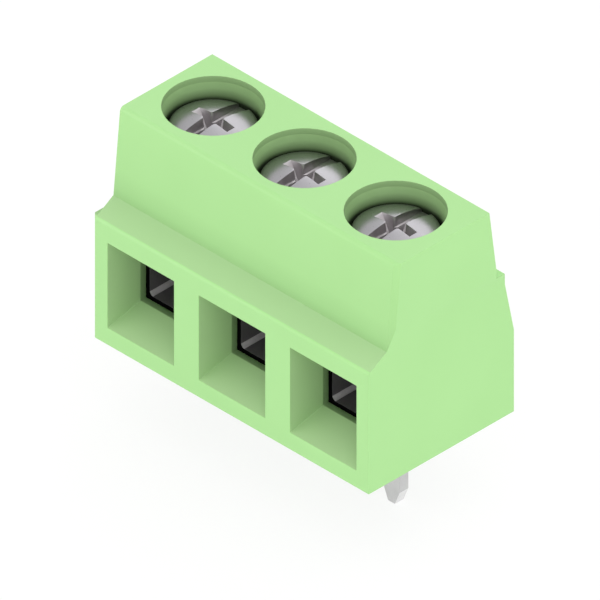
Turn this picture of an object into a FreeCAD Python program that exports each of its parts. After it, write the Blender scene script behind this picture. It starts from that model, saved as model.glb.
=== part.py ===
import FreeCAD, Part
import math
import os

import Sketcher

# A rising-cage screw terminal block for a printed circuit board, in millimetres.
# X runs along the row of poles, the wires enter at -Y, and the board lies at Z = 0.
# The middle of the row of screws stands at X = 0 and Y = 0.

# Driving dimensions: each one is a cell of the sheet under the same name.
SIZES = {
    "pole_count": 3,
    "pole_pitch": 5.08,
    # Screw: pan head with a slot and a cross, and the envelope of its thread.
    "thread_diameter": 2.5,
    "thread_chamfer": 0.25,
    "head_diameter": 3.54,
    "head_rim": 0.92,
    "crown_rise": 0.33,
    "slot_width": 0.6,
    "slot_depth": 0.5,
    "cross_span": 2.07,
    "cross_foot": 0.9,
    "cross_width": 0.44,
    "cross_depth": 1.05,
    # Clamp cage: one strip folded into a ring, with its two ends lapped on top.
    "cage_sheet": 0.5,
    "cage_depth": 4.45,
    "cage_fold": 0.2,
    "lap_gap": 0.02,
    "thread_side_gap": 0.06,
    "thread_gap": 0.05,
    # Contact: one bent strip from the tongue in the cage to the solder pin.
    "strip": 0.5,
    "strip_fold": 0.2,
    "tongue_side_gap": 0.21,
    "tongue_front_gap": 0.22,
    "leg_gap": 0.375,
    "foot_height": 0.3,
    "foot_gap": 0.46,
    "pin_width": 0.93,
    "pin_length": 3.5,
    "pin_tip_width": 0.39,
    "pin_tip_height": 0.67,
    # Heights of the stack inside one pole.
    "wire_gap": 2.24,
    "closed_gap": 0.14,
    "tongue_gap": 0.08,
    "screw_tip_gap": 0.1,
    "cage_headroom": 0.28,
    "shoulder": 0.6,
    "head_sink": 0.57,
    # Housing round the mechanism.
    "cage_clearance": 0.03,
    "contact_clearance": 0.03,
    "head_clearance": 0.16,
    "screw_hole_flare": 0.12,
    "screw_hole_lip": 0.28,
    "flare_depth": 0.72,
    "shank_clearance": 0.06,
    "throat_length": 0.315,
    "throat_lip": 0.17,
    "sill_lip": 0.17,
    "throat_over": 0.3,
    "funnel_depth": 1.48,
    "funnel_side": 0.375,
    "funnel_rise": 0.79,
    "funnel_drop": 0.59,
    "lintel": 0.86,
    "ledge_rise": 0.61,
    "front_wall": 0.775,
    "top_front_wall": 0.6,
    "rear_wall": 0.685,
    "top_rear_wall": 0.435,
    "back_wall": 0.95,
    "rear_ledge": 0.48,
    "slant_foot": 3.93,
    "slant_rise": 3.05,
    "ledge_radius": 0.2,
    "top_radius": 0.22,
    "end_step": 0.2,
    "lower_step_rise": 0.09,
    "ramp_rise": 1.0,
}

# Room that a cut takes beyond the faces it opens, so that no skin is left.
OVERCUT = 1.0


def cell(name):
    return "Sizes." + name


def total(*terms):
    """Join terms into one bracketed sum; a term may start with a minus sign."""
    text = terms[0]
    for term in terms[1:]:
        text += " - " + term[1:] if term.startswith("-") else " + " + term
    return "(" + text + ")"


def minus(term):
    return "(0 - " + term + ")"


# Heights above the board, from the foot of the contact up to the top face.
FOOT_TOP = total(cell("foot_height"), cell("strip"))
CAGE_BOTTOM = total(FOOT_TOP, cell("foot_gap"))
CAGE_FLOOR = total(CAGE_BOTTOM, cell("cage_sheet"))
TONGUE_BOTTOM = total(CAGE_FLOOR, cell("wire_gap"))
TONGUE_TOP = total(TONGUE_BOTTOM, cell("strip"))
WINDOW_TOP = total(TONGUE_TOP, cell("tongue_gap"))
INNER_LAP_TOP = total(WINDOW_TOP, cell("cage_sheet"))
OUTER_LAP_BOTTOM = total(INNER_LAP_TOP, cell("lap_gap"))
CAGE_TOP = total(OUTER_LAP_BOTTOM, cell("cage_sheet"))
CAGE_TRAVEL = total(cell("wire_gap"), "-" + cell("closed_gap"))
CAVITY_TOP = total(CAGE_TOP, CAGE_TRAVEL, cell("cage_headroom"))
HEAD_SEAT = total(CAVITY_TOP, cell("shoulder"))
HEAD_EDGE = total(HEAD_SEAT, cell("head_rim"))
CROWN_TOP = total(HEAD_EDGE, cell("crown_rise"))
TOP = total(CROWN_TOP, cell("head_sink"))
SCREW_TIP = total(TONGUE_TOP, cell("screw_tip_gap"))

# Half widths across one pole.
SHANK_RADIUS = "(Sizes.thread_diameter / 2)"
CAGE_INSIDE = total(SHANK_RADIUS, cell("thread_side_gap"))
CAGE_OUTSIDE = total(CAGE_INSIDE, cell("cage_sheet"))
CAVITY_SIDE = total(CAGE_OUTSIDE, cell("cage_clearance"))
TONGUE_SIDE = total(CAGE_INSIDE, "-" + cell("tongue_side_gap"))
SLOT_SIDE = total(TONGUE_SIDE, cell("contact_clearance"))
THROAT_SIDE = total(CAGE_INSIDE, cell("throat_lip"))
MOUTH_SIDE = total(THROAT_SIDE, cell("funnel_side"))

# Distances in front of and behind the row of screws.
HALF_CAGE = "(Sizes.cage_depth / 2)"
CAVITY_HALF = total(HALF_CAGE, cell("cage_clearance"))
THROAT_FRONT = total(CAVITY_HALF, cell("throat_length"))
FRONT = total(THROAT_FRONT, cell("funnel_depth"))
LEG_FRONT = total(HALF_CAGE, cell("leg_gap"))
LEG_REAR = total(LEG_FRONT, cell("strip"))
REAR = total(LEG_REAR, cell("back_wall"))

# Heights of the wire mouth and of the two ledges.
THROAT_SILL = total(CAGE_FLOOR, "-" + cell("sill_lip"))
MOUTH_SILL = total(THROAT_SILL, "-" + cell("funnel_rise"))
THROAT_ROOF = total(TONGUE_BOTTOM, cell("throat_over"))
MOUTH_ROOF = total(THROAT_ROOF, cell("funnel_drop"))
LEDGE_EDGE = total(MOUTH_ROOF, cell("lintel"))
LEDGE_CORNER = total(LEDGE_EDGE, cell("ledge_rise"))
REAR_LEDGE_HEIGHT = total(cell("slant_foot"), cell("slant_rise"))

# Screw hole: an upright lip at the top face, a rounded lead-in, then the bore round the head.
BORE_RADIUS = total("(Sizes.head_diameter / 2)", cell("head_clearance"))
RIM_RADIUS = total(BORE_RADIUS, cell("screw_hole_flare"))
LIP_FOOT = total(TOP, "-" + cell("screw_hole_lip"))
FLARE_FOOT = total(LIP_FOOT, "-" + cell("flare_depth"))
SHANK_HOLE = total(SHANK_RADIUS, cell("shank_clearance"))

HALF_ROW = "(Sizes.pole_pitch * Sizes.pole_count / 2)"
STEP_END = total(HALF_ROW, cell("end_step"))
FIRST_POLE = "(Sizes.pole_pitch * (1 - Sizes.pole_count) / 2)"


def make_sheet(doc):
    sheet = doc.addObject("Spreadsheet::Sheet", "Sizes")
    for row, (name, value) in enumerate(SIZES.items(), start=1):
        sheet.set(f"A{row}", name)
        sheet.set(f"B{row}", str(value))
        sheet.setAlias(f"B{row}", name)
    doc.recompute()
    return sheet


def value_of(sheet, expression):
    return float(sheet.evalExpression(expression))


def make_body(doc, label):
    body = doc.addObject("PartDesign::Body", label)
    body.Label = label
    return body


def origin_feature(body, role):
    return next(o for o in body.Origin.OriginFeatures if o.Role == role)


def place_sketch(body, name, plane, shift_x=None, height=None):
    """A sketch on a plane of the body's origin, moved along the plane's own X and normal."""
    sketch = body.newObject("Sketcher::SketchObject", name)
    sketch.AttachmentSupport = [(origin_feature(body, plane), "")]
    sketch.MapMode = "FlatFace"
    if shift_x:
        sketch.setExpression(".AttachmentOffset.Base.x", shift_x)
    if height:
        sketch.setExpression(".AttachmentOffset.Base.z", height)
    return sketch


def arc_centre(start, end, radius, turn):
    """Centre of the arc from start to end, turn +1 running anticlockwise and -1 clockwise."""
    middle = (start + end) / 2
    chord = end - start
    rise = math.sqrt(max(radius**2 - (chord.Length / 2) ** 2, 0.0))
    across = FreeCAD.Vector(-chord.y, chord.x, 0).normalize()
    return middle + across * (rise * turn)


def add_arc(sketch, start, end, radius, turn):
    centre = arc_centre(start, end, radius, turn)
    circle = Part.Circle(centre, FreeCAD.Vector(0, 0, 1), radius)
    first = math.atan2(start.y - centre.y, start.x - centre.x)
    last = math.atan2(end.y - centre.y, end.x - centre.x)
    if turn < 0:
        first, last = last, first
    return sketch.addGeometry(Part.ArcOfCircle(circle, first, last))


def draw_outline(sketch, sheet, corners):
    """Closed outline through corners (x, y) or (x, y, radius, turn), where an arc leaves the corner."""
    points = [
        FreeCAD.Vector(value_of(sheet, c[0]), value_of(sheet, c[1]), 0) for c in corners
    ]
    ends = []
    for i, corner in enumerate(corners):
        start = points[i]
        end = points[(i + 1) % len(points)]
        if len(corner) == 2:
            edge = sketch.addGeometry(Part.LineSegment(start, end))
            ends.append((edge, 1, 2))
            continue
        edge = add_arc(sketch, start, end, value_of(sheet, corner[2]), corner[3])
        ends.append((edge, 1, 2) if corner[3] > 0 else (edge, 2, 1))
        radius = sketch.addConstraint(
            Sketcher.Constraint("Radius", edge, value_of(sheet, corner[2]))
        )
        sketch.setExpression(f"Constraints[{radius}]", corner[2])
    for i, (edge, _, last) in enumerate(ends):
        following, first, _ = ends[(i + 1) % len(ends)]
        sketch.addConstraint(
            Sketcher.Constraint("Coincident", edge, last, following, first)
        )
    for (edge, first, _), point, corner in zip(ends, points, corners):
        for kind, number, text in (
            ("DistanceX", point.x, corner[0]),
            ("DistanceY", point.y, corner[1]),
        ):
            index = sketch.addConstraint(
                Sketcher.Constraint(kind, -1, 1, edge, first, number)
            )
            sketch.setExpression(f"Constraints[{index}]", text)


def rectangle(left, right, bottom, top):
    return [(left, bottom), (right, bottom), (right, top), (left, top)]


def extrude(body, kind, name, sketch, length, both_ways=False, reversed_way=False):
    feature = body.newObject("PartDesign::" + kind, name)
    feature.Profile = sketch
    feature.SideType = "Symmetric" if both_ways else "One side"
    feature.Reversed = reversed_way
    feature.setExpression("Length", length)
    return feature


def sweep_round(body, kind, name, sketch):
    feature = body.newObject("PartDesign::" + kind, name)
    feature.Profile = sketch
    feature.ReferenceAxis = (sketch, ["V_Axis"])
    feature.Angle = 360
    return feature


def loft(body, kind, name, first, second):
    feature = body.newObject("PartDesign::" + kind, name)
    feature.Profile = first
    feature.Sections = [second]
    feature.Ruled = True
    return feature


def arc_radius(rise, half_chord):
    """Radius of the arc that rises by the named size over half its chord."""
    height = cell(rise)
    return f"(({half_chord} * {half_chord} + {height} * {height}) / (2 * {height}))"


def edges_along_x(shape, y, z):
    """Names of the straight edges parallel to X that lie at the given Y and Z."""
    names = []
    for i, edge in enumerate(shape.Edges, start=1):
        ends = [v.Point for v in edge.Vertexes]
        if len(ends) != 2 or abs(ends[0].x - ends[1].x) < 1:
            continue
        if all(math.hypot(p.y - y, p.z - z) < 1e-4 for p in ends):
            names.append(f"Edge{i}")
    return names


def round_edge(doc, sheet, body, base, name, y, z, radius):
    doc.recompute()
    names = edges_along_x(base.Shape, value_of(sheet, y), value_of(sheet, z))
    feature = body.newObject("PartDesign::Fillet", name)
    feature.Base = (base, names)
    feature.setExpression("Radius", radius)
    return feature


def housing_block(sheet, body):
    """The moulded outline seen from the end, as long as the row with both end steps."""
    rear_upper = total(CAVITY_HALF, cell("rear_wall"))
    outline = [
        (minus(FRONT), "0"),
        (REAR, "0"),
        (REAR, cell("slant_foot")),
        (total(rear_upper, cell("rear_ledge")), REAR_LEDGE_HEIGHT),
        (rear_upper, REAR_LEDGE_HEIGHT),
        (total(RIM_RADIUS, cell("top_rear_wall")), TOP),
        (minus(total(RIM_RADIUS, cell("top_front_wall"))), TOP),
        (minus(total(CAVITY_HALF, cell("front_wall"))), LEDGE_CORNER),
        (minus(FRONT), LEDGE_EDGE),
    ]
    sketch = place_sketch(body, "EndOutline", "YZ_Plane")
    draw_outline(sketch, sheet, outline)
    return extrude(
        body, "Pad", "Block", sketch, f"(2 * {STEP_END})", both_ways=True
    )


def housing_end_steps(sheet, body):
    """The lower zone stands out at the left end, and the upper zone at the right end."""
    margin = str(OVERCUT)
    beyond = total(STEP_END, margin)
    through = f"(2 * {total(FRONT, REAR)})"
    lower_top = total(LEDGE_EDGE, cell("lower_step_rise"))
    left = place_sketch(body, "LeftUpperRelief", "XZ_Plane")
    draw_outline(
        left,
        sheet,
        rectangle(minus(beyond), minus(HALF_ROW), lower_top, total(TOP, margin)),
    )
    extrude(body, "Pocket", "LeftRelief", left, through, both_ways=True)
    ramp_top = total(LEDGE_CORNER, cell("ramp_rise"))
    right = place_sketch(body, "RightLowerRelief", "XZ_Plane")
    relief = [
        (HALF_ROW, minus(margin)),
        (beyond, minus(margin)),
        (beyond, ramp_top),
        (STEP_END, ramp_top),
        (HALF_ROW, LEDGE_CORNER),
    ]
    draw_outline(right, sheet, relief)
    extrude(body, "Pocket", "RightRelief", right, through, both_ways=True)


def chamfer_section(sheet, body, name, side, wall, height):
    """Plan of the cut that takes 45 degrees off a step's front corner, side +1 right, -1 left."""
    reach = total(cell("end_step"), str(OVERCUT))
    sign = "1" if side > 0 else "-1"
    corner_x = f"({sign} * {HALF_ROW})"
    far_x = f"({sign} * {total(HALF_ROW, reach)})"
    sketch = place_sketch(body, name, "XY_Plane", height=height)
    draw_outline(
        sketch,
        sheet,
        [
            (corner_x, minus(wall)),
            (corner_x, total(minus(wall), "-" + reach)),
            (far_x, total(minus(wall), "-" + reach)),
            (far_x, total(minus(wall), reach)),
        ],
    )
    return sketch


def housing_end_chamfers(sheet, body):
    wall_low = total(CAVITY_HALF, cell("front_wall"))
    wall_top = total(RIM_RADIUS, cell("top_front_wall"))
    # The wall leans, so the cut is carried past both ends of it on the same slope.
    lean = f"({total(wall_low, '-' + wall_top)} / {total(TOP, '-' + LEDGE_CORNER)})"
    margin = str(OVERCUT)
    low = chamfer_section(
        sheet, body, "RightChamferLow", 1, wall_low, LEDGE_CORNER
    )
    high = chamfer_section(
        sheet,
        body,
        "RightChamferHigh",
        1,
        total(wall_top, f"-({lean} * {margin})"),
        total(TOP, margin),
    )
    loft(body, "SubtractiveLoft", "RightChamfer", low, high)
    left = chamfer_section(
        sheet, body, "LeftChamferOutline", -1, FRONT, minus(margin)
    )
    return extrude(
        body,
        "Pocket",
        "LeftChamfer",
        left,
        total(LEDGE_CORNER, margin),
        reversed_way=True,
    )


def housing_pole(sheet, body):
    """All the hollows of the first pole; the other poles repeat them."""
    margin = str(OVERCUT)
    cavity = place_sketch(body, "CavityOutline", "XY_Plane", FIRST_POLE)
    draw_outline(
        cavity,
        sheet,
        rectangle(minus(CAVITY_SIDE), CAVITY_SIDE, minus(CAVITY_HALF), CAVITY_HALF),
    )
    cage_well = extrude(
        body, "Pocket", "CageWell", cavity, CAVITY_TOP, reversed_way=True
    )
    leg = place_sketch(body, "LegSlotOutline", "XY_Plane", FIRST_POLE)
    draw_outline(
        leg,
        sheet,
        rectangle(
            minus(SLOT_SIDE),
            SLOT_SIDE,
            "0",
            total(LEG_REAR, cell("contact_clearance")),
        ),
    )
    leg_slot = extrude(body, "Pocket", "LegSlot", leg, TONGUE_TOP, reversed_way=True)
    mouth = place_sketch(body, "MouthOutline", "XZ_Plane", FIRST_POLE, FRONT)
    draw_outline(
        mouth, sheet, rectangle(minus(MOUTH_SIDE), MOUTH_SIDE, MOUTH_SILL, MOUTH_ROOF)
    )
    throat = place_sketch(body, "ThroatOutline", "XZ_Plane", FIRST_POLE, THROAT_FRONT)
    throat_corners = rectangle(minus(THROAT_SIDE), THROAT_SIDE, THROAT_SILL, THROAT_ROOF)
    draw_outline(throat, sheet, throat_corners)
    funnel = loft(body, "SubtractiveLoft", "WireFunnel", mouth, throat)
    passage = place_sketch(body, "PassageOutline", "XZ_Plane", FIRST_POLE, THROAT_FRONT)
    draw_outline(passage, sheet, throat_corners)
    wire_passage = extrude(body, "Pocket", "WirePassage", passage, THROAT_FRONT)
    hole = place_sketch(body, "ScrewHoleOutline", "XZ_Plane", FIRST_POLE)
    profile = [
        ("0", total(CAVITY_TOP, "-" + margin)),
        (SHANK_HOLE, total(CAVITY_TOP, "-" + margin)),
        (SHANK_HOLE, HEAD_SEAT),
        (BORE_RADIUS, HEAD_SEAT),
        (BORE_RADIUS, FLARE_FOOT, arc_radius("screw_hole_flare", cell("flare_depth")), -1),
        (RIM_RADIUS, LIP_FOOT),
        (RIM_RADIUS, total(TOP, margin)),
        ("0", total(TOP, margin)),
    ]
    draw_outline(hole, sheet, profile)
    screw_hole = sweep_round(body, "Groove", "ScrewHole", hole)
    return [cage_well, leg_slot, funnel, wire_passage, screw_hole]


def repeat_along_row(body, features):
    row = body.newObject("PartDesign::LinearPattern", "PoleRow")
    row.Originals = features
    row.Direction = (origin_feature(body, "X_Axis"), [""])
    row.setExpression("Length", "Sizes.pole_pitch * (Sizes.pole_count - 1)")
    row.setExpression("Occurrences", "Sizes.pole_count")
    body.Tip = row
    return row


def make_housing(doc, sheet):
    body = make_body(doc, "housing")
    housing_block(sheet, body)
    housing_end_steps(sheet, body)
    shaped = housing_end_chamfers(sheet, body)
    wall_top = minus(total(RIM_RADIUS, cell("top_front_wall")))
    ledge = round_edge(
        doc, sheet, body, shaped, "LedgeRound", minus(FRONT), LEDGE_EDGE,
        cell("ledge_radius"),
    )
    round_edge(
        doc, sheet, body, ledge, "TopRound", wall_top, TOP, cell("top_radius")
    )
    doc.recompute()
    repeat_along_row(body, housing_pole(sheet, body))
    return body


def stand_at_pole(body, index):
    body.setExpression(
        ".Placement.Base.x",
        f"Sizes.pole_pitch * ({index} - (Sizes.pole_count - 1) / 2)",
    )


def cut_head_recess(sheet, body):
    margin = str(OVERCUT)
    above = total(CROWN_TOP, margin)
    slot = place_sketch(body, "SlotOutline", "XZ_Plane")
    half_slot = "(Sizes.slot_width / 2)"
    slot_floor = total(CROWN_TOP, "-" + cell("slot_depth"))
    draw_outline(
        slot, sheet, rectangle(minus(half_slot), half_slot, slot_floor, above)
    )
    across = total(cell("head_diameter"), margin)
    extrude(body, "Pocket", "Slot", slot, across, both_ways=True)
    half_span = "(Sizes.cross_span / 2)"
    half_foot = "(Sizes.cross_foot / 2)"
    # The wings lean in as they go down; above the crown they carry on at full span.
    wing = [
        (minus(half_foot), total(CROWN_TOP, "-" + cell("cross_depth"))),
        (half_foot, total(CROWN_TOP, "-" + cell("cross_depth"))),
        (half_span, CROWN_TOP),
        (half_span, above),
        (minus(half_span), above),
        (minus(half_span), CROWN_TOP),
    ]
    for name, plane in (("CrossAlongX", "XZ_Plane"), ("CrossAlongY", "YZ_Plane")):
        sketch = place_sketch(body, name + "Outline", plane)
        draw_outline(sketch, sheet, wing)
        extrude(body, "Pocket", name, sketch, cell("cross_width"), both_ways=True)


def make_screw(doc, sheet, index):
    body = make_body(doc, f"clamp_screw_{index + 1}")
    half_head = "(Sizes.head_diameter / 2)"
    profile = [
        ("0", SCREW_TIP),
        (total(SHANK_RADIUS, "-" + cell("thread_chamfer")), SCREW_TIP),
        (SHANK_RADIUS, total(SCREW_TIP, cell("thread_chamfer"))),
        (SHANK_RADIUS, HEAD_SEAT),
        (half_head, HEAD_SEAT),
        (half_head, HEAD_EDGE, arc_radius("crown_rise", half_head), 1),
        ("0", CROWN_TOP),
    ]
    sketch = place_sketch(body, "HalfSection", "XZ_Plane")
    draw_outline(sketch, sheet, profile)
    sweep_round(body, "Revolution", "Turned", sketch)
    cut_head_recess(sheet, body)
    stand_at_pole(body, index)
    return body


def make_cage(doc, sheet, index):
    """The strip is wound once round the window, so its first end lies under its last."""
    body = make_body(doc, f"clamp_cage_{index + 1}")
    fold = cell("cage_fold")
    bend = total(fold, cell("cage_sheet"))
    inner_end = minus(total(CAGE_INSIDE, "-" + fold, "-" + cell("lap_gap")))
    ring = [
        (CAGE_OUTSIDE, CAGE_TOP),
        (minus(total(CAGE_OUTSIDE, "-" + bend)), CAGE_TOP, bend, 1),
        (minus(CAGE_OUTSIDE), total(CAGE_TOP, "-" + bend)),
        (minus(CAGE_OUTSIDE), total(CAGE_BOTTOM, bend), bend, 1),
        (minus(total(CAGE_OUTSIDE, "-" + bend)), CAGE_BOTTOM),
        (total(CAGE_OUTSIDE, "-" + bend), CAGE_BOTTOM, bend, 1),
        (CAGE_OUTSIDE, total(CAGE_BOTTOM, bend)),
        (CAGE_OUTSIDE, total(INNER_LAP_TOP, "-" + bend), bend, 1),
        (total(CAGE_OUTSIDE, "-" + bend), INNER_LAP_TOP),
        (inner_end, INNER_LAP_TOP),
        (inner_end, WINDOW_TOP),
        (total(CAGE_INSIDE, "-" + fold), WINDOW_TOP, fold, -1),
        (CAGE_INSIDE, total(WINDOW_TOP, "-" + fold)),
        (CAGE_INSIDE, total(CAGE_FLOOR, fold), fold, -1),
        (total(CAGE_INSIDE, "-" + fold), CAGE_FLOOR),
        (minus(total(CAGE_INSIDE, "-" + fold)), CAGE_FLOOR, fold, -1),
        (minus(CAGE_INSIDE), total(CAGE_FLOOR, fold)),
        (minus(CAGE_INSIDE), total(OUTER_LAP_BOTTOM, "-" + fold), fold, -1),
        (minus(total(CAGE_INSIDE, "-" + fold)), OUTER_LAP_BOTTOM),
        (CAGE_OUTSIDE, OUTER_LAP_BOTTOM),
    ]
    sketch = place_sketch(body, "WoundStrip", "XZ_Plane")
    draw_outline(sketch, sheet, ring)
    extrude(body, "Pad", "Ring", sketch, cell("cage_depth"), both_ways=True)
    hole = place_sketch(body, "ThreadHoleSection", "XZ_Plane")
    radius = total(SHANK_RADIUS, cell("thread_gap"))
    hole_foot = total(WINDOW_TOP, "-" + fold)
    hole_top = total(CAGE_TOP, str(OVERCUT))
    draw_outline(hole, sheet, rectangle("0", radius, hole_foot, hole_top))
    sweep_round(body, "Groove", "ThreadHole", hole)
    stand_at_pole(body, index)
    return body


def wide_strip_outline():
    """Side view of the contact's wide stretch: tongue, rear leg and the bend into the foot."""
    fold = cell("strip_fold")
    bend = total(fold, cell("strip"))
    tip = minus(total(HALF_CAGE, "-" + cell("tongue_front_gap")))
    bend_at = total(LEG_FRONT, "-" + fold)
    return [
        (tip, TONGUE_BOTTOM),
        (bend_at, TONGUE_BOTTOM, fold, -1),
        (LEG_FRONT, total(TONGUE_BOTTOM, "-" + fold)),
        (LEG_FRONT, total(FOOT_TOP, fold), fold, -1),
        (bend_at, FOOT_TOP),
        (bend_at, cell("foot_height"), bend, 1),
        (LEG_REAR, total(cell("foot_height"), bend)),
        (LEG_REAR, total(TONGUE_TOP, "-" + bend), bend, 1),
        (bend_at, TONGUE_TOP),
        (tip, TONGUE_TOP),
    ]


def foot_outline():
    """Side view of the narrow foot, from the rear bend forward and down into the pin."""
    fold = cell("strip_fold")
    bend = total(fold, cell("strip"))
    half = "(Sizes.strip / 2)"
    foot_rear = total(LEG_FRONT, "-" + fold)
    bend_foot = total(cell("foot_height"), "-" + fold)
    return [
        (minus(half), bend_foot),
        (half, bend_foot, fold, -1),
        (total(half, fold), cell("foot_height")),
        (foot_rear, cell("foot_height")),
        (foot_rear, FOOT_TOP),
        (total(half, fold), FOOT_TOP, bend, 1),
    ]


def pin_outline():
    """Front view of the solder pin, which narrows at its tip."""
    half = "(Sizes.pin_width / 2)"
    half_tip = "(Sizes.pin_tip_width / 2)"
    top = total(cell("foot_height"), "-" + cell("strip_fold"))
    taper = minus(total(cell("pin_length"), "-" + cell("pin_tip_height")))
    bottom = minus(cell("pin_length"))
    return [
        (minus(half_tip), bottom),
        (half_tip, bottom),
        (half, taper),
        (half, top),
        (minus(half), top),
        (minus(half), taper),
    ]


def make_contact(doc, sheet, index):
    body = make_body(doc, f"contact_{index + 1}")
    parts = (
        ("Tongue", "YZ_Plane", wide_strip_outline(), f"(2 * {TONGUE_SIDE})"),
        ("Foot", "YZ_Plane", foot_outline(), cell("pin_width")),
        ("Pin", "XZ_Plane", pin_outline(), cell("strip")),
    )
    for name, plane, outline, width in parts:
        sketch = place_sketch(body, name + "Outline", plane)
        draw_outline(sketch, sheet, outline)
        extrude(body, "Pad", name, sketch, width, both_ways=True)
    stand_at_pole(body, index)
    return body


def check(doc, bodies):
    for item in doc.Objects:
        if "Invalid" in item.State or "Error" in item.State:
            raise RuntimeError(f"{item.Name} ({item.Label}) failed: {item.State}")
    for body in bodies:
        shape = body.Shape
        if shape.isNull() or not shape.isValid() or len(shape.Solids) != 1:
            raise RuntimeError(f"{body.Label} is not one valid solid")


def main():
    doc = FreeCAD.newDocument("screw_terminal")
    sheet = make_sheet(doc)
    bodies = [make_housing(doc, sheet)]
    for index in range(int(SIZES["pole_count"])):
        bodies.append(make_screw(doc, sheet, index))
        bodies.append(make_cage(doc, sheet, index))
        bodies.append(make_contact(doc, sheet, index))
    doc.recompute()
    check(doc, bodies)
    os.makedirs("parts", exist_ok=True)
    for body in bodies:
        body.Shape.exportStep(f"parts/{body.Label}.step")
        box = body.Shape.BoundBox
        print(
            f"{body.Label}: volume {body.Shape.Volume:.3f}, "
            f"x {box.XMin:.3f} to {box.XMax:.3f}, y {box.YMin:.3f} to {box.YMax:.3f}, "
            f"z {box.ZMin:.3f} to {box.ZMax:.3f}"
        )


main()
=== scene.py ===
import math

import bpy
from mathutils import Matrix, Vector


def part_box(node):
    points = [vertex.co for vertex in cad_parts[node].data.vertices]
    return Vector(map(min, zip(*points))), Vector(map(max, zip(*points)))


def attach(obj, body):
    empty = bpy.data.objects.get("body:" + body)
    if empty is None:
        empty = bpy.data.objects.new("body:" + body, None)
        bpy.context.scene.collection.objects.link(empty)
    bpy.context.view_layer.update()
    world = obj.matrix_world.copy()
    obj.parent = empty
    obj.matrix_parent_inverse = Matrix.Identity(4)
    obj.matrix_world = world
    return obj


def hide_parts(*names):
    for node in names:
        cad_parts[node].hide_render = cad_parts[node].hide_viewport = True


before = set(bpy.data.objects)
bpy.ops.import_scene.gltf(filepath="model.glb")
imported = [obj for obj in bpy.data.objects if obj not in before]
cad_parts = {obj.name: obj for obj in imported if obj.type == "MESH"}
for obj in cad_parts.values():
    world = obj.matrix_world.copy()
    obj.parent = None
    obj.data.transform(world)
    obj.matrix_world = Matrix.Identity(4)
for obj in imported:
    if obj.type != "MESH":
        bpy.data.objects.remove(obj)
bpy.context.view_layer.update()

MM = 0.001
POLES = (1, 2, 3)

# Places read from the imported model, in metres.
HOUSING_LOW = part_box("housing")[0]
PIN_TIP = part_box("contact_1")[0].z
SCREW_X = {i: sum(c.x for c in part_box(f"clamp_screw_{i}")) / 2 for i in POLES}
POLE_PITCH = SCREW_X[2] - SCREW_X[1]
HALF_ROW = POLE_PITCH * 1.5

# Points closer than this are one point.
WELD = 0.0005 * MM

# Widths of the rounded edges.
HOUSING_EDGE = 0.02 * MM
CAGE_EDGE = 0.01 * MM
CONTACT_EDGE = 0.03 * MM
SCREW_EDGE = 0.012 * MM

# The clamp screw in millimetres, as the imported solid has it, with its thread added.
HEAD_SEAT = 8.58
HEAD_EDGE = 9.50
CROWN_TOP = 9.83
HEAD_RADIUS = 1.77
SCREW_TIP = 4.60
THREAD_RADIUS = 1.25
THREAD_PITCH = 0.45
THREAD_DEPTH = 0.276
# One tooth from root to root: (share of the depth outwards, share of the pitch upwards).
TOOTH = ((0, 0.25), (1, 0.3125), (0, 0.125), (-1, 0.3125))
SHANK_CHAMFER = 0.27
SHANK_ROOM = 0.02
SLOT_WIDTH = 0.60
SLOT_DEPTH = 0.50
CROSS_SPAN = 2.07
CROSS_FOOT = 0.90
CROSS_WIDTH = 0.44
CROSS_FOOT_WIDTH = 0.36
CROSS_DEPTH = 1.05
CORNER_TOP = 0.83
CORNER_FOOT = 0.64
CORNER_DEPTH = 0.95
CROWN_RISE = CROWN_TOP - HEAD_EDGE
CROWN_BALL = (HEAD_RADIUS**2 + CROWN_RISE**2) / (2 * CROWN_RISE)

# The screw holes in millimetres, and the level of their green at each height: painted shade, near
# black in the gap round the head, lighter up the bore, and a little darker again on the upright
# lip.
TOP_FACE = 10.40
LIP_FOOT = 10.12
LIP_RADIUS = 2.05
HOLE_LEVELS = [
    (9.36, 0.07),
    (9.55, 0.52),
    (9.85, 0.88),
    (LIP_FOOT - 0.01, 1.0),
    (LIP_FOOT + 0.01, 0.84),
    (TOP_FACE, 0.88),
]

# The room that holds the funnels and their throats, in millimetres, and the level along Y:
# painted shade, darker inwards from the mouth.
FUNNEL_FOOT = -2.57
FUNNEL_LEVELS = [(-4.05, 1.0), (-2.59, 0.86), (-2.56, 0.60), (-1.90, 0.68)]
THROAT_END = -1.0
FUNNEL_LOW = 0.7
FUNNEL_HIGH = 5.0
FUNNEL_HALF = 1.95

# The front ledge's slope in millimetres, its level up to the crease, and that of the front above:
# painted shade that darkens both towards the crease.
LEDGE_FOOT = 5.95
CREASE = 6.36
LEDGE_LEVELS = [(5.75, 1.0), (CREASE, 0.92)]
FRONT_LEVELS = [(CREASE, 0.75), (6.75, 0.85), (7.6, 0.935), (TOP_FACE, 0.98)]

# Camera: a parallel view from 45 degrees right of the front and 35 degrees up.
VIEW_TURN = math.radians(45)
VIEW_RISE = math.radians(35)
PICTURE_WIDTH = 23.619 * MM
PICTURE_CENTRE_RIGHT = 8.0735 * MM
PICTURE_CENTRE_UP = 1.4833 * MM
CAMERA_DISTANCE = 60 * MM

# Brightness of the studio before and behind the block.
SKY_FRONT = 0.60
SKY_REAR = 0.80


def deselect_all():
    if bpy.context.object and bpy.context.object.mode != "OBJECT":
        bpy.ops.object.mode_set(mode="OBJECT")
    bpy.ops.object.select_all(action="DESELECT")


def pick(obj):
    """Make one object the only selected and active one."""
    deselect_all()
    obj.select_set(True)
    bpy.context.view_layer.objects.active = obj
    return obj


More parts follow.
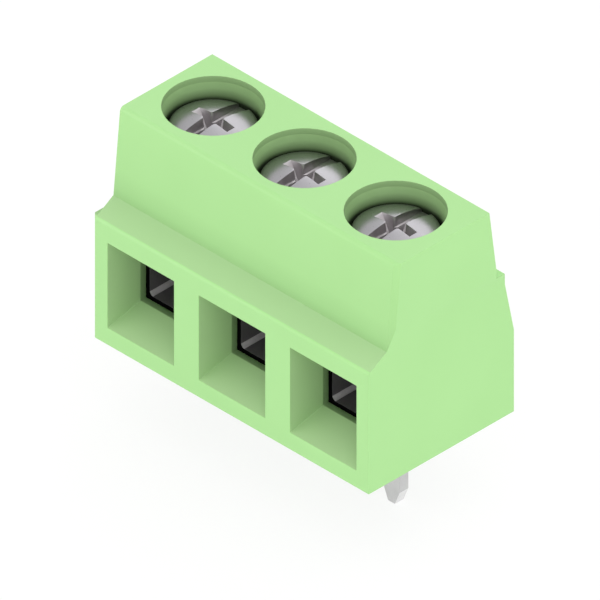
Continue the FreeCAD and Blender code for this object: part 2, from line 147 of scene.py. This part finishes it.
def copy_of_node(node, name):
    """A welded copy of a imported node, as a new object with its place in its mesh."""
    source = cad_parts[node]
    mesh = source.data.copy()
    piece = bpy.data.objects.new(name, mesh)
    bpy.context.scene.collection.objects.link(piece)
    pick(piece)
    bpy.ops.object.mode_set(mode="EDIT")
    bpy.ops.mesh.select_all(action="SELECT")
    bpy.ops.mesh.remove_doubles(threshold=WELD)
    bpy.ops.mesh.dissolve_limited(angle_limit=math.radians(0.5))
    bpy.ops.object.mode_set(mode="OBJECT")
    return piece


def break_edges(piece, width, segments=2, angle=30):
    """Round off every sharp edge, as a mould or a press leaves it."""
    pick(piece)
    bevel = piece.modifiers.new("Broken edges", "BEVEL")
    bevel.width = width
    bevel.segments = segments
    bevel.limit_method = "ANGLE"
    bevel.angle_limit = math.radians(angle)
    bevel.use_clamp_overlap = True
    bevel.harden_normals = False
    bpy.ops.object.modifier_apply(modifier=bevel.name)
    return piece


def smooth_rounds(piece, angle=40, sharp_at=None):
    """Shade rounds smoothly and leave flat faces flat; sharp_at picks edges that stay sharp."""
    pick(piece)
    bpy.ops.object.shade_smooth_by_angle(angle=math.radians(angle))
    if sharp_at:
        for line in piece.data.edges:
            ends = [piece.data.vertices[i].co / MM for i in line.vertices]
            if sharp_at(*ends):
                line.use_edge_sharp = True
    even = piece.modifiers.new("Flat faces", "WEIGHTED_NORMAL")
    even.mode = "FACE_AREA"
    even.weight = 80
    even.keep_sharp = True
    bpy.ops.object.modifier_apply(modifier=even.name)
    return piece


def bake_place(piece):
    """Put the object's place and turn into its mesh."""
    pick(piece)
    bpy.ops.object.transform_apply(location=True, rotation=True, scale=True)
    return piece


def lathe(name, rings, segments=96):
    """A closed round body about the Z axis through rings of (radius, height), in millimetres."""
    radius, height = rings[0]
    deselect_all()
    bpy.ops.mesh.primitive_circle_add(
        vertices=segments,
        radius=radius * MM,
        fill_type="NGON",
        location=(0, 0, height * MM),
    )
    piece = bpy.context.object
    piece.name = name
    bake_place(piece)
    bpy.ops.object.mode_set(mode="EDIT")
    bpy.ops.mesh.select_all(action="SELECT")
    for (r0, z0), (r1, z1) in zip(rings, rings[1:]):
        bpy.ops.mesh.extrude_region_move(
            TRANSFORM_OT_translate={"value": (0, 0, (z1 - z0) * MM)}
        )
        bpy.ops.transform.resize(
            value=(r1 / r0, r1 / r0, 1), center_override=(0, 0, z1 * MM)
        )
    bpy.ops.mesh.select_all(action="SELECT")
    bpy.ops.mesh.normals_make_consistent(inside=False)
    bpy.ops.object.mode_set(mode="OBJECT")
    return piece


def combine(piece, tool, operation):
    """Cut, join or trim a piece with a tool, which is then thrown away."""
    pick(piece)
    step = piece.modifiers.new("Combine", "BOOLEAN")
    step.operation = operation
    step.solver = "EXACT"
    step.object = tool
    bpy.ops.object.modifier_apply(modifier=step.name)
    bpy.data.objects.remove(tool)
    return piece


# Clamp screw


def crown_rings():
    """The ball of the crown from its rounded rim to near its middle."""
    steps = 17
    rings = []
    for step in range(steps):
        radius = (HEAD_RADIUS - 0.09) * (1 - step / steps)
        height = CROWN_TOP - CROWN_BALL + math.sqrt(CROWN_BALL**2 - radius**2)
        rings.append((radius, height))
    return rings


def make_head():
    """The head with rounded edges at its seat and its rim, and the crown on top."""
    side = [
        (HEAD_RADIUS - 0.06, HEAD_SEAT),
        (HEAD_RADIUS - 0.018, HEAD_SEAT + 0.018),
        (HEAD_RADIUS, HEAD_SEAT + 0.06),
        (HEAD_RADIUS, HEAD_EDGE - 0.07),
        (HEAD_RADIUS - 0.006, HEAD_EDGE - 0.04),
        (HEAD_RADIUS - 0.022, HEAD_EDGE - 0.012),
        (HEAD_RADIUS - 0.05, HEAD_EDGE + 0.009),
    ]
    return lathe("clamp_screw_head", side + crown_rings())


def slot_tool():
    """A block as wide as the slot, which stands one millimetre above the crown."""
    depth = SLOT_DEPTH + 1
    deselect_all()
    bpy.ops.mesh.primitive_cube_add(
        size=1,
        location=(0, 0, (CROWN_TOP - SLOT_DEPTH + depth / 2) * MM),
        scale=(SLOT_WIDTH * MM, 3 * HEAD_RADIUS * MM, depth * MM),
    )
    return bake_place(bpy.context.object)


def bar_tool(top, foot, depth, turn):
    """A bar that narrows to its foot: top and foot are its length and width, in millimetres."""
    above = 0.5
    deselect_all()
    bpy.ops.mesh.primitive_plane_add(size=1, location=(0, 0, (CROWN_TOP + above) * MM))
    tool = bpy.context.object
    tool.scale = (top[0] * MM, top[1] * MM, 1)
    bake_place(tool)
    bpy.ops.object.mode_set(mode="EDIT")
    bpy.ops.mesh.select_all(action="SELECT")
    for down in (above, depth):
        bpy.ops.mesh.extrude_region_move(
            TRANSFORM_OT_translate={"value": (0, 0, -down * MM)}
        )
    bpy.ops.transform.resize(
        value=(foot[0] / top[0], foot[1] / top[1], 1),
        center_override=(0, 0, (CROWN_TOP - depth) * MM),
    )
    bpy.ops.mesh.select_all(action="SELECT")
    bpy.ops.mesh.normals_make_consistent(inside=False)
    bpy.ops.object.mode_set(mode="OBJECT")
    tool.rotation_euler = (0, 0, turn)
    return bake_place(tool)


def make_shank():
    """The threaded shank: one tooth's outline wound up a helix and cut off square."""
    root = THREAD_RADIUS - THREAD_DEPTH
    turns = math.ceil((HEAD_SEAT - SCREW_TIP) / THREAD_PITCH) + 3
    start = SCREW_TIP - 1.6 * THREAD_PITCH
    deselect_all()
    bpy.ops.mesh.primitive_plane_add(size=0.1 * MM, location=(root * MM, 0, start * MM))
    shank = bpy.context.object
    shank.name = "clamp_screw_shank"
    bake_place(shank)
    bpy.ops.object.mode_set(mode="EDIT")
    bpy.ops.mesh.select_mode(type="VERT")
    bpy.ops.mesh.select_all(action="SELECT")
    bpy.ops.mesh.merge(type="CENTER")
    for out, up in TOOTH:
        across = out * THREAD_DEPTH
        bpy.ops.mesh.extrude_region_move(
            TRANSFORM_OT_translate={"value": (across * MM, 0, up * THREAD_PITCH * MM)}
        )
    bpy.ops.object.mode_set(mode="OBJECT")
    winding = shank.modifiers.new("Winding", "SCREW")
    winding.axis = "Z"
    winding.angle = math.tau
    winding.screw_offset = THREAD_PITCH * MM
    winding.iterations = turns
    winding.steps = 64
    winding.render_steps = 64
    winding.use_merge_vertices = True
    winding.merge_threshold = WELD
    bpy.ops.object.modifier_apply(modifier=winding.name)
    bpy.ops.object.mode_set(mode="EDIT")
    bpy.ops.mesh.select_all(action="SELECT")
    bpy.ops.mesh.remove_doubles(threshold=WELD)
    bpy.ops.mesh.select_all(action="SELECT")
    bpy.ops.mesh.fill_holes(sides=0)
    bpy.ops.mesh.select_all(action="SELECT")
    bpy.ops.mesh.normals_make_consistent(inside=False)
    bpy.ops.object.mode_set(mode="OBJECT")
    room = THREAD_RADIUS + SHANK_ROOM
    limit = lathe(
        "shank_limit",
        [
            (room - SHANK_CHAMFER, SCREW_TIP),
            (room, SCREW_TIP + SHANK_CHAMFER),
            (room, HEAD_SEAT + 0.08),
        ],
    )
    return combine(shank, limit, "INTERSECT")


def make_screw():
    """One clamp screw on the Z axis, its recess cut and its shank joined to the head."""
    screw = make_head()
    combine(screw, slot_tool(), "DIFFERENCE")
    top = (CROSS_SPAN, CROSS_WIDTH)
    foot = (CROSS_FOOT, CROSS_FOOT_WIDTH)
    for turn in (0, math.pi / 2):
        combine(screw, bar_tool(top, foot, CROSS_DEPTH, turn), "DIFFERENCE")
    square, square_foot = (CORNER_TOP, CORNER_TOP), (CORNER_FOOT, CORNER_FOOT)
    combine(screw, bar_tool(square, square_foot, CORNER_DEPTH, math.pi / 4), "DIFFERENCE")
    smooth_rounds(break_edges(screw, SCREW_EDGE, angle=35), 30)
    shank = smooth_rounds(make_shank(), 30)
    pick(screw)
    shank.select_set(True)
    bpy.ops.object.join()
    screw.name = "clamp_screw"
    return screw


def screw_face(face):
    """The recess takes the second finish, a lighter zinc painting light onto it: what lies under
    the crown's ball, above its foot.
    """
    place = face.center / MM
    ball_centre = Vector((0, 0, CROWN_TOP - CROWN_BALL))
    under = (place - ball_centre).length < CROWN_BALL - 0.03
    inside = abs(place.x) < 0.32 or abs(place.y) < 0.25
    return int(under and inside and place.z > HEAD_SEAT + 0.1)


def stand_screws(screw, materials):
    """Three copies of the screw, one at each pole, each with its own mesh."""
    cover(screw, *materials, choose=screw_face)
    for i in POLES:
        mesh = screw.data.copy()
        mesh.transform(Matrix.Translation((SCREW_X[i], 0, 0)))
        piece = bpy.data.objects.new(f"screw_{i}", mesh)
        bpy.context.scene.collection.objects.link(piece)
        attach(piece, f"clamp_screw_{i}")
        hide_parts(f"clamp_screw_{i}")
    bpy.data.objects.remove(screw)


# Materials


def new_material(name):
    material = bpy.data.materials.new(name)
    material.use_nodes = True
    tree = material.node_tree
    shader = tree.nodes["Principled BSDF"]
    place = tree.nodes.new("ShaderNodeTexCoord")
    return material, tree, shader, place


def noise(tree, place, scale, detail=3.0, roughness=0.5):
    node = tree.nodes.new("ShaderNodeTexNoise")
    node.inputs["Scale"].default_value = scale
    node.inputs["Detail"].default_value = detail
    node.inputs["Roughness"].default_value = roughness
    tree.links.new(place.outputs["Object"], node.inputs["Vector"])
    return node


def spread(tree, source, low, high):
    """Map a noise value of about 0.3 to 0.7 onto the range low to high."""
    node = tree.nodes.new("ShaderNodeMapRange")
    node.inputs["From Min"].default_value = 0.3
    node.inputs["From Max"].default_value = 0.7
    node.inputs["To Min"].default_value = low
    node.inputs["To Max"].default_value = high
    tree.links.new(source, node.inputs["Value"])
    return node.outputs["Result"]


def blend_colours(tree, factor, first, second):
    node = tree.nodes.new("ShaderNodeMix")
    node.data_type = "RGBA"
    node.inputs["A"].default_value = (*first, 1)
    node.inputs["B"].default_value = (*second, 1)
    tree.links.new(factor, node.inputs["Factor"])
    return node.outputs["Result"]


def add_bump(tree, shader, height, distance, strength):
    node = tree.nodes.new("ShaderNodeBump")
    node.inputs["Distance"].default_value = distance
    node.inputs["Strength"].default_value = strength
    tree.links.new(height, node.inputs["Height"])
    tree.links.new(node.outputs["Normal"], shader.inputs["Normal"])
    return node


def green_polyamide(name, low, high, shade_step=None):
    """Light green polyamide with the fine grain of a spark-eroded mould, and painted shade over
    it where a shade step is given.
    """
    material, tree, shader, place = new_material(name)
    cloud = noise(tree, place, 260, 2)
    grain = noise(tree, place, 16000, 2, 0.6)
    tint = blend_colours(tree, spread(tree, cloud.outputs["Fac"], 0, 1), low, high)
    if shade_step:
        tint = shade_step(tree, place, tint)
    tree.links.new(tint, shader.inputs["Base Color"])
    tree.links.new(
        spread(tree, grain.outputs["Fac"], 0.42, 0.52), shader.inputs["Roughness"]
    )
    add_bump(tree, shader, grain.outputs["Fac"], 0.002 * MM, 0.35)
    return material


def paint_shade(axis, marks):
    """Painted shade: a step that darkens a green along an axis; marks are (place in millimetres,
    level).
    """
    low, high = marks[0][0], marks[-1][0]

    def step(tree, place, tint):
        parts = tree.nodes.new("ShaderNodeSeparateXYZ")
        tree.links.new(place.outputs["Object"], parts.inputs["Vector"])
        depth = tree.nodes.new("ShaderNodeMapRange")
        depth.inputs["From Min"].default_value = low * MM
        depth.inputs["From Max"].default_value = high * MM
        tree.links.new(parts.outputs[axis], depth.inputs["Value"])
        ramp = tree.nodes.new("ShaderNodeValToRGB")
        stops = ramp.color_ramp.elements
        stops[0].position, stops[1].position = 0.0, 1.0
        for mark, _ in marks[1:-1]:
            stops.new((mark - low) / (high - low))
        for stop, (_, level) in zip(stops, marks):
            stop.color = (level, level, level, 1)
        tree.links.new(depth.outputs["Result"], ramp.inputs["Fac"])
        deep = tree.nodes.new("ShaderNodeMix")
        deep.data_type = "RGBA"
        deep.blend_type = "MULTIPLY"
        deep.inputs["Factor"].default_value = 1.0
        tree.links.new(tint, deep.inputs["A"])
        tree.links.new(ramp.outputs["Color"], deep.inputs["B"])
        return deep.outputs["Result"]

    return step


def housing_greens():
    """The outside green, and darker copies of it painting shade into the funnels, funnel sides,
    screw holes, ledge, end steps and upper front.
    """
    into_funnel = paint_shade("Y", FUNNEL_LEVELS)
    down_hole = paint_shade("Z", HOLE_LEVELS)
    up_ledge = paint_shade("Z", LEDGE_LEVELS)
    down_front = paint_shade("Z", FRONT_LEVELS)
    greens = (
        ("moulding", (0.412, 0.752, 0.294), (0.424, 0.768, 0.304), None),
        # Painted shade: each green from here on darkens the moulding's green, by its colour or
        # its shade step.
        ("funnels", (0.405, 0.635, 0.294), (0.417, 0.649, 0.304), into_funnel),
        ("sides", (0.355, 0.562, 0.255), (0.365, 0.574, 0.265), into_funnel),
        ("holes", (0.302, 0.498, 0.208), (0.312, 0.510, 0.218), down_hole),
        ("ledge", (0.410, 0.660, 0.301), (0.422, 0.674, 0.311), up_ledge),
        ("steps", (0.320, 0.540, 0.224), (0.330, 0.550, 0.234), None),
        ("front", (0.412, 0.752, 0.290), (0.424, 0.768, 0.300), down_front),
    )
    return [green_polyamide(f"green_{name}", *finish) for name, *finish in greens]


def zinc_plate(name, low, high, rough):
    """Zinc plate on cold-formed steel, its colour between low and high."""
    material, tree, shader, place = new_material(name)
    cloud = noise(tree, place, 900, 3)
    grain = noise(tree, place, 14000, 3, 0.6)
    tint = blend_colours(tree, spread(tree, cloud.outputs["Fac"], 0, 1), low, high)
    tree.links.new(tint, shader.inputs["Base Color"])
    shader.inputs["Metallic"].default_value = 1.0
    tree.links.new(
        spread(tree, grain.outputs["Fac"], rough - 0.04, rough + 0.04),
        shader.inputs["Roughness"],
    )
    add_bump(tree, shader, grain.outputs["Fac"], 0.0004 * MM, 0.04)
    return material


def screw_zinc():
    """Bright plate outside, and in the recess a lighter, slightly rougher zinc that paints light
    onto its walls.
    """
    bright = zinc_plate("bright_screw", (0.365, 0.355, 0.375), (0.395, 0.385, 0.405), 0.31)
    # Painted light: the recess zinc is lighter than the crown's.
    recess = zinc_plate("screw_recess_painted_light", (0.50, 0.48, 0.49), (0.55, 0.53, 0.54), 0.32)
    return bright, recess


def dark_steel(name, low, high, metal, rough):
    """Dark passivated sheet steel, its grey between low and high."""
    material, tree, shader, place = new_material(name)
    grain = noise(tree, place, 9000, 3, 0.6)
    tint = blend_colours(tree, spread(tree, grain.outputs["Fac"], 0, 1), low, high)
    tree.links.new(tint, shader.inputs["Base Color"])
    shader.inputs["Metallic"].default_value = metal
    tree.links.new(
        spread(tree, grain.outputs["Fac"], rough - 0.06, rough + 0.06),
        shader.inputs["Roughness"],
    )
    add_bump(tree, shader, grain.outputs["Fac"], 0.001 * MM, 0.2)
    return material


def cage_steel():
    """Sheet faces, a lighter steel on the folds as a painted highlight, and the edges of the cut
    sheet painted black as shade.
    """
    sheet = dark_steel("cage_sheet", (0.135, 0.122, 0.135), (0.162, 0.146, 0.162), 0.4, 0.45)
    # Painted highlight: the folds take a lighter steel.
    fold = dark_steel("cage_fold", (0.50, 0.46, 0.50), (0.57, 0.52, 0.57), 0.3, 0.45)
    # Painted shade: the edges of the cut sheet are near black.
    edge_shade = dark_steel("cage_edge_painted_shade", (0.002, 0.002, 0.002), (0.003, 0.003, 0.003), 0.0, 0.7)
    edge_shade.node_tree.nodes["Principled BSDF"].inputs["Specular IOR Level"].default_value = 0.0
    return sheet, fold, edge_shade


def tinned_strip(name, low, high):
    """Matt tin plate on brass strip, its grey between low and high."""
    material, tree, shader, place = new_material(name)
    cloud = noise(tree, place, 1200, 3)
    grain = noise(tree, place, 12000, 3, 0.6)
    tint = blend_colours(tree, spread(tree, cloud.outputs["Fac"], 0, 1), low, high)
    tree.links.new(tint, shader.inputs["Base Color"])
    shader.inputs["Metallic"].default_value = 0.75
    tree.links.new(
        spread(tree, grain.outputs["Fac"], 0.36, 0.5), shader.inputs["Roughness"]
    )
    add_bump(tree, shader, grain.outputs["Fac"], 0.0015 * MM, 0.3)
    return material


def contact_tin():
    """The strip, and a brighter tin on the slopes at the sides of the pin's tip, a painted
    reflection of the floor below.
    """
    strip = tinned_strip("tinned_strip", (0.56, 0.555, 0.56), (0.64, 0.632, 0.64))
    # Painted reflection: the tip's slopes take a lighter tin.
    tip_reflection = tinned_strip("tinned_tip_painted_reflection", (0.80, 0.79, 0.80), (0.86, 0.85, 0.86))
    return strip, tip_reflection


def cover(piece, *materials, choose=None):
    """Give a piece its materials; choose picks the one for each face."""
    piece.data.materials.clear()
    for material in materials:
        piece.data.materials.append(material)
    for face in piece.data.polygons:
        face.material_index = choose(face) if choose else 0


def housing_face(face):
    """The green for a face of the housing, as its place in housing_greens; all but the outside
    take painted shade.
    """
    outside, funnel, funnel_side, hole, ledge, end_step, upper_front = range(7)
    place = face.center / MM
    normal = face.normal
    off_axis = min(abs(place.x - x / MM) for x in SCREW_X.values())
    behind_mouth = HOUSING_LOW.y / MM + 0.02 < place.y < THROAT_END
    if behind_mouth and FUNNEL_LOW < place.z < FUNNEL_HIGH and off_axis < FUNNEL_HALF:
        return funnel_side if abs(normal.x) > 0.5 else funnel
    below_top = HEAD_SEAT + 0.05 < place.z < TOP_FACE - 0.01
    if below_top and math.hypot(off_axis, place.y) < LIP_RADIUS + 0.02:
        return hole
    crease = CREASE - 0.03
    if LEDGE_FOOT < place.z < crease and normal.z > 0.3 and normal.y < -0.3:
        return ledge
    beside = abs(place.x) > HALF_ROW / MM + 0.01
    if beside and normal.z > 0.3 and place.z < TOP_FACE - 1:
        return end_step
    if place.z > crease and normal.y < -0.5:
        return upper_front
    return outside


def cage_face(face):
    """The steel for a face of a cage, as its place in cage_steel."""
    sheet, fold, edge_shade = range(3)
    normal = face.normal
    if abs(normal.y) > 0.8:
        return edge_shade
    if abs(normal.x) > 0.2 and abs(normal.z) > 0.2 and abs(normal.y) < 0.2:
        return fold
    return sheet


def contact_face(face):
    """The slopes at the sides of the pin's tip take the second, brighter tin: a painted
    reflection of the floor.
    """
    sloped = abs(face.normal.x) > 0.3 and face.normal.z < -0.15
    return int(sloped and face.center.z / MM < -2)


# Stage


def seen_rays(tree):
    """One where a surface is looked at, straight, in a reflection or through glass."""
    path = tree.nodes.new("ShaderNodeLightPath")
    seen = path.outputs["Is Camera Ray"]
    for kind in ("Is Glossy Ray", "Is Transmission Ray"):
        either = tree.nodes.new("ShaderNodeMath")
        either.operation = "MAXIMUM"
        tree.links.new(seen, either.inputs[0])
        tree.links.new(path.outputs[kind], either.inputs[1])
        seen = either.outputs["Value"]
    return seen


def make_floor():
    """A white floor at the tips of the pins, plain white to the camera and still shaded."""
    own_white, shaded_white, plain_white = 0.86, 0.16, 0.86
    deselect_all()
    bpy.ops.mesh.primitive_plane_add(size=600 * MM, location=(0, 0, PIN_TIP))
    floor = bpy.context.object
    floor.name = "floor"
    material = bpy.data.materials.new("floor_white")
    material.use_nodes = True
    tree = material.node_tree
    tree.nodes.clear()
    output = tree.nodes.new("ShaderNodeOutputMaterial")
    paint = tree.nodes.new("ShaderNodeBsdfDiffuse")
    paint.inputs["Color"].default_value = (*[plain_white] * 3, 1)
    # Where it is seen, most of its white is its own and the rest takes the shadow.
    shade = tree.nodes.new("ShaderNodeBsdfDiffuse")
    shade.inputs["Color"].default_value = (*[shaded_white] * 3, 1)
    glow = tree.nodes.new("ShaderNodeEmission")
    glow.inputs["Strength"].default_value = own_white
    seen = tree.nodes.new("ShaderNodeAddShader")
    tree.links.new(shade.outputs["BSDF"], seen.inputs[0])
    tree.links.new(glow.outputs["Emission"], seen.inputs[1])
    mix = tree.nodes.new("ShaderNodeMixShader")
    tree.links.new(seen_rays(tree), mix.inputs["Fac"])
    tree.links.new(paint.outputs["BSDF"], mix.inputs[1])
    tree.links.new(seen.outputs["Shader"], mix.inputs[2])
    tree.links.new(mix.outputs["Shader"], output.inputs["Surface"])
    floor.data.materials.append(material)


def make_sky():
    """A rather dim studio, brighter behind the block, and plain white where it is looked at."""
    world = bpy.data.worlds.new("studio")
    bpy.context.scene.world = world
    world.use_nodes = True
    tree = world.node_tree
    sky = tree.nodes["Background"]
    sky.inputs["Color"].default_value = (1, 1, 1, 1)
    place = tree.nodes.new("ShaderNodeTexCoord")
    parts = tree.nodes.new("ShaderNodeSeparateXYZ")
    tree.links.new(place.outputs["Generated"], parts.inputs["Vector"])
    studio = tree.nodes.new("ShaderNodeMapRange")
    studio.inputs["From Min"].default_value = -1.0
    studio.inputs["From Max"].default_value = 1.0
    studio.inputs["To Min"].default_value = SKY_FRONT
    studio.inputs["To Max"].default_value = SKY_REAR
    tree.links.new(parts.outputs["Y"], studio.inputs["Value"])
    level = tree.nodes.new("ShaderNodeMapRange")
    tree.links.new(studio.outputs["Result"], level.inputs["To Min"])
    level.inputs["To Max"].default_value = 1.0
    tree.links.new(seen_rays(tree), level.inputs["Value"])
    tree.links.new(level.outputs["Result"], sky.inputs["Strength"])


def make_lamp(name, direction, width, level):
    """A far, wide soft light: level is what it adds to a white face square to it."""
    light = bpy.data.lights.new(name, "SUN")
    light.angle = math.radians(width)
    light.energy = math.pi * level
    lamp = bpy.data.objects.new(name, light)
    bpy.context.scene.collection.objects.link(lamp)
    lamp.rotation_euler = Vector(direction).to_track_quat("Z", "Y").to_euler()


def make_camera():
    """A parallel camera, centred a set way right of and above the housing's lower left corner."""
    right = Vector((math.cos(VIEW_TURN), math.sin(VIEW_TURN), 0))
    back = Vector(
        (
            math.cos(VIEW_RISE) * math.sin(VIEW_TURN),
            -math.cos(VIEW_RISE) * math.cos(VIEW_TURN),
            math.sin(VIEW_RISE),
        )
    )
    up = back.cross(right)
    corner = Vector((-HALF_ROW, HOUSING_LOW.y, HOUSING_LOW.z))
    centre = corner + right * PICTURE_CENTRE_RIGHT + up * PICTURE_CENTRE_UP
    data = bpy.data.cameras.new("camera")
    data.type = "ORTHO"
    data.ortho_scale = PICTURE_WIDTH
    data.clip_start = 1 * MM
    data.clip_end = 10
    camera = bpy.data.objects.new("camera", data)
    bpy.context.scene.collection.objects.link(camera)
    camera.matrix_world = Matrix.Translation(
        centre + back * CAMERA_DISTANCE
    ) @ Matrix((right, up, back)).transposed().to_4x4()
    bpy.context.scene.camera = camera


def make_stage():
    bpy.context.scene.view_settings.view_transform = "Standard"
    make_floor()
    make_sky()
    make_lamp("top_light", (0.25, 0.1, 1.0), 60, 0.12)
    make_lamp("rear_light", (-0.36, 0.756, 0.547), 40, 0.09)
    make_lamp("left_light", (-0.7, -0.7, -0.05), 60, 0.47)
    make_lamp("front_light", (0.7, -0.7, 0.25), 80, 0.33)
    make_lamp("right_light", (0.95, 0.3, 0.0), 60, 0.18)
    make_camera()


# The block


def crisp_line(a, b):
    """Whether a-b lies on the foot of the upright lip in a screw hole, or of a funnel."""

    def on_lip(c):
        off_axis = min(abs(c.x - x / MM) for x in SCREW_X.values())
        return (
            abs(c.z - LIP_FOOT) < 0.01
            and abs(math.hypot(off_axis, c.y) - LIP_RADIUS) < 0.03
        )

    def on_funnel_foot(c):
        return abs(c.y - FUNNEL_FOOT) < 0.004

    return (on_lip(a) and on_lip(b)) or (on_funnel_foot(a) and on_funnel_foot(b))


def dress_node(node, name, body, materials, width, choose, sharp_at=None):
    """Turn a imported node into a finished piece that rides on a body."""
    piece = break_edges(copy_of_node(node, name), width)
    smooth_rounds(piece, sharp_at=sharp_at)
    cover(piece, *materials, choose=choose)
    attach(piece, body)
    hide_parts(node)
    return piece


def make_block():
    dress_node(
        "housing", "moulded_housing", "housing",
        housing_greens(), HOUSING_EDGE, housing_face, sharp_at=crisp_line,
    )
    stand_screws(make_screw(), screw_zinc())
    cage = cage_steel()
    tin = contact_tin()
    for i in POLES:
        dress_node(
            f"clamp_cage_{i}", f"cage_{i}", f"clamp_cage_{i}",
            cage, CAGE_EDGE, cage_face,
        )
        dress_node(
            f"contact_{i}", f"contact_strip_{i}", "housing",
            tin, CONTACT_EDGE, contact_face,
        )


make_block()
make_stage()
